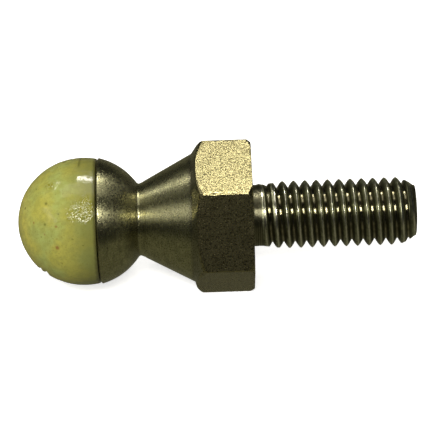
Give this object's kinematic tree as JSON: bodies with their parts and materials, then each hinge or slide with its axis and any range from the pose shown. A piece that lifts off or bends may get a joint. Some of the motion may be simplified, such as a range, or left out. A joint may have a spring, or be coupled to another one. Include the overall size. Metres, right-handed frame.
{
  "type": "ball stud",
  "caption": "Ball stud: a nylon cap over the front of a steel ball, a narrow neck, a hexagon and a threaded shank.",
  "frame": {"origin": "centre of the ball, on the stud's axis", "axes": "+X along the stud's axis from the ball to the threaded end, +Z square to a hexagon flat, which is up when the stud lies on the opposite flat, +Y through a hexagon corner"},
  "size_m": [0.0556, 0.022, 0.019],
  "materials": {
    "steel": "turned and rolled steel with a thin yellow-olive passivated finish, fine tool marks, bright worn edges",
    "nylon": "unfilled nylon in a dull yellow-green, slightly translucent, faint moulding marks and small scuffs"
  },
  "bodies": {
    "stud": {"ball_stud": "steel"},
    "cap": {"ball_cap": "nylon"}
  },
  "joints": [
    {"name": "cap_spin", "type": "hinge", "parent": "stud", "child": "cap", "pos_m": [0, 0, 0], "axis": [1, 0, 0], "continuous": true}
  ]
}
